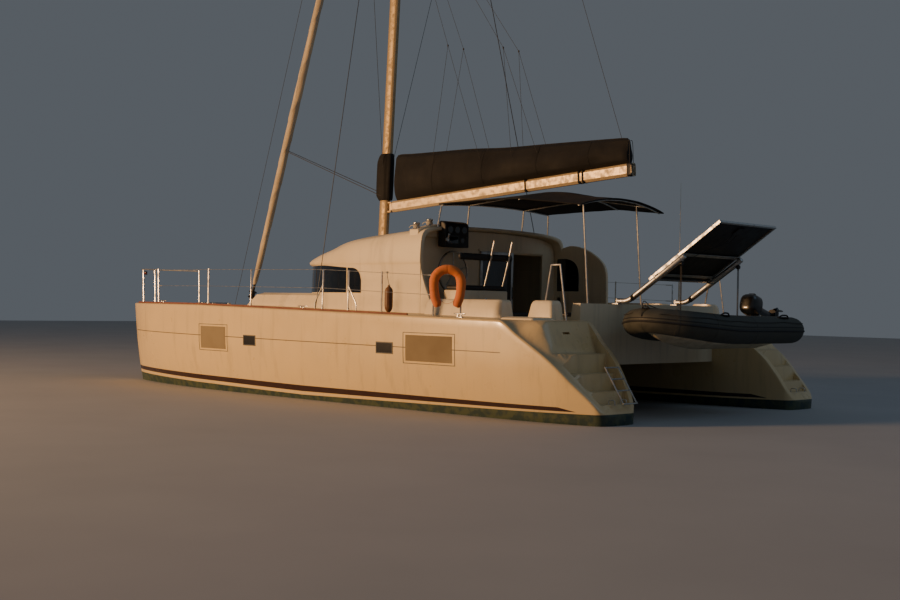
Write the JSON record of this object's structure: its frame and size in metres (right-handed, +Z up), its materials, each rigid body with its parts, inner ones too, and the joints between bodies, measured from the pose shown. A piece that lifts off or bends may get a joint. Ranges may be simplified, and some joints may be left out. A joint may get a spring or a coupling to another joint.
{
  "type": "sailing catamaran",
  "caption": "Cruising sailing catamaran with twin stepped sterns, a rounded coachroof, one mast with a boom and sail bag, a bimini, davits and a dinghy.",
  "frame": {"origin": "on the centreline amidships, at the waterline", "axes": "+X forward to the bows, +Y to port, +Z up"},
  "size_m": [12.11, 6.53, 18.45],
  "materials": {
    "gelcoat": "gloss",
    "antifouling": "matt paint",
    "toe_rail": "weathered",
    "glazing": "dark tinted",
    "canvas": "woven acrylic",
    "net": "webbing",
    "spar": "anodised",
    "headsail": "sailcloth",
    "wire": "stranded wire",
    "stainless": "polished",
    "lifebuoy": "faded",
    "fender": "worn",
    "solar_cells": "dark cells in an aluminium frame",
    "dinghy_fabric": "matt coated fabric",
    "dinghy_shell": "worn gloss",
    "outboard_paint": "gloss",
    "bronze": "dull",
    "upholstery": "matt vinyl",
    "helm_plastic": "matt",
    "winch_metal": "polished"
  },
  "bodies": {
    "boat": {"hull_port": "gelcoat", "hull_starboard": "gelcoat", "bridgedeck": "gelcoat", "coachroof": "gelcoat", "saloon_glazing": "glazing", "aft_bulkhead": "gelcoat", "toe_rail_port": "toe_rail", "toe_rail_starboard": "toe_rail", "keel_port": "antifouling", "keel_starboard": "antifouling", "saildrive_port": "helm_plastic", "saildrive_starboard": "helm_plastic", "pulpit_port": "stainless", "pulpit_starboard": "stainless", "stanchion_port_1": "stainless", "stanchion_port_2": "stainless", "stanchion_starboard_1": "stainless", "stanchion_starboard_2": "stainless", "stern_rail_port": "stainless", "stern_rail_starboard": "stainless", "lifebuoy_frame": "stainless", "lifebuoy": "lifebuoy", "fender": "fender", "helm_seat": "upholstery", "helm_pod": "helm_plastic", "winches": "winch_metal", "mast": "spar", "cover_collar": "canvas", "crossbeam": "spar", "furled_headsail": "headsail", "shroud_port": "wire", "shroud_starboard": "wire", "trampoline_port": "net", "trampoline_starboard": "net", "bimini_frame": "stainless", "bimini_canopy": "canvas", "davit_port": "stainless", "davit_starboard": "stainless", "solar_panel": "solar_cells", "dinghy_tubes": "dinghy_fabric", "dinghy_hull": "dinghy_shell"},
    "boom": {"boom": "spar", "sail_bag": "canvas"},
    "rudder_port": {"rudder_port": "antifouling"},
    "rudder_starboard": {"rudder_starboard": "antifouling"},
    "steering_wheel": {"steering_wheel": "stainless"},
    "propeller_port": {"propeller_port": "bronze"},
    "propeller_starboard": {"propeller_starboard": "bronze"},
    "saloon_door": {"saloon_door": "glazing"},
    "deck_hatch_port": {"deck_hatch_port": "glazing"},
    "deck_hatch_starboard": {"deck_hatch_starboard": "glazing"},
    "engine_lid_port": {"engine_lid_port": "gelcoat"},
    "engine_lid_starboard": {"engine_lid_starboard": "gelcoat"},
    "outboard": {"outboard": "outboard_paint"},
    "outboard_propeller": {"outboard_propeller": "outboard_paint"},
    "boarding_ladder": {"boarding_ladder": "stainless"}
  },
  "joints": [
    {"name": "boom_swing", "type": "hinge", "parent": "boat", "child": "boom", "pos_m": [1.3, 0, 3.34], "axis": [-0.0454, 0, 0.999], "range_deg": [-58, 58]},
    {"name": "rudder_port_steer", "type": "hinge", "parent": "boat", "child": "rudder_port", "pos_m": [-4.5, 2.45, -0.3], "axis": [0, 0, 1], "range_deg": [-35, 35]},
    {"name": "rudder_starboard_steer", "type": "hinge", "parent": "boat", "child": "rudder_starboard", "pos_m": [-4.5, -2.45, -0.3], "axis": [0, 0, 1], "range_deg": [-35, 35]},
    {"name": "wheel_turn", "type": "hinge", "parent": "boat", "child": "steering_wheel", "pos_m": [-1.2305, 1, 2.1], "axis": [1, 0, 0], "range_deg": [-450, 450]},
    {"name": "propeller_port_spin", "type": "hinge", "parent": "boat", "child": "propeller_port", "pos_m": [-3.6805, 2.45, -0.85], "axis": [1, 0, 0], "continuous": true},
    {"name": "propeller_starboard_spin", "type": "hinge", "parent": "boat", "child": "propeller_starboard", "pos_m": [-3.6805, -2.45, -0.85], "axis": [1, 0, 0], "continuous": true},
    {"name": "saloon_door_slide", "type": "slide", "parent": "boat", "child": "saloon_door", "axis": [0, -1, 0], "range_m": [0, 0.845]},
    {"name": "deck_hatch_port_hinge", "type": "hinge", "parent": "boat", "child": "deck_hatch_port", "pos_m": [3.61, 2.48, 1.48], "axis": [0, 1, 0], "range_deg": [0, 85]},
    {"name": "deck_hatch_starboard_hinge", "type": "hinge", "parent": "boat", "child": "deck_hatch_starboard", "pos_m": [3.61, -2.48, 1.48], "axis": [0, 1, 0], "range_deg": [0, 85]},
    {"name": "engine_lid_port_hinge", "type": "hinge", "parent": "boat", "child": "engine_lid_port", "pos_m": [-3.89, 2.56, 1.37487], "axis": [0, 1, 0], "range_deg": [0, 85]},
    {"name": "engine_lid_starboard_hinge", "type": "hinge", "parent": "boat", "child": "engine_lid_starboard", "pos_m": [-3.89, -2.56, 1.37487], "axis": [0, 1, 0], "range_deg": [0, 85]},
    {"name": "outboard_tilt", "type": "hinge", "parent": "boat", "child": "outboard", "pos_m": [-5.54, -1.33, 1.44], "axis": [1, 0, 0], "range_deg": [0, 75]},
    {"name": "outboard_propeller_spin", "type": "hinge", "parent": "outboard", "child": "outboard_propeller", "pos_m": [-5.54, -1.93703, 1.54186], "axis": [0, -0.2588, 0.9659], "continuous": true},
    {"name": "boarding_ladder_fold", "type": "hinge", "parent": "boat", "child": "boarding_ladder", "pos_m": [-5.79, 2.3, 0.29], "axis": [0, -1, 0], "range_deg": [0, 200]}
  ],
  "couplings": [
    {"joint": "rudder_starboard_steer", "follows": "rudder_port_steer", "ratio": 1},
    {"joint": "wheel_turn", "follows": "rudder_port_steer", "ratio": 12.857}
  ]
}
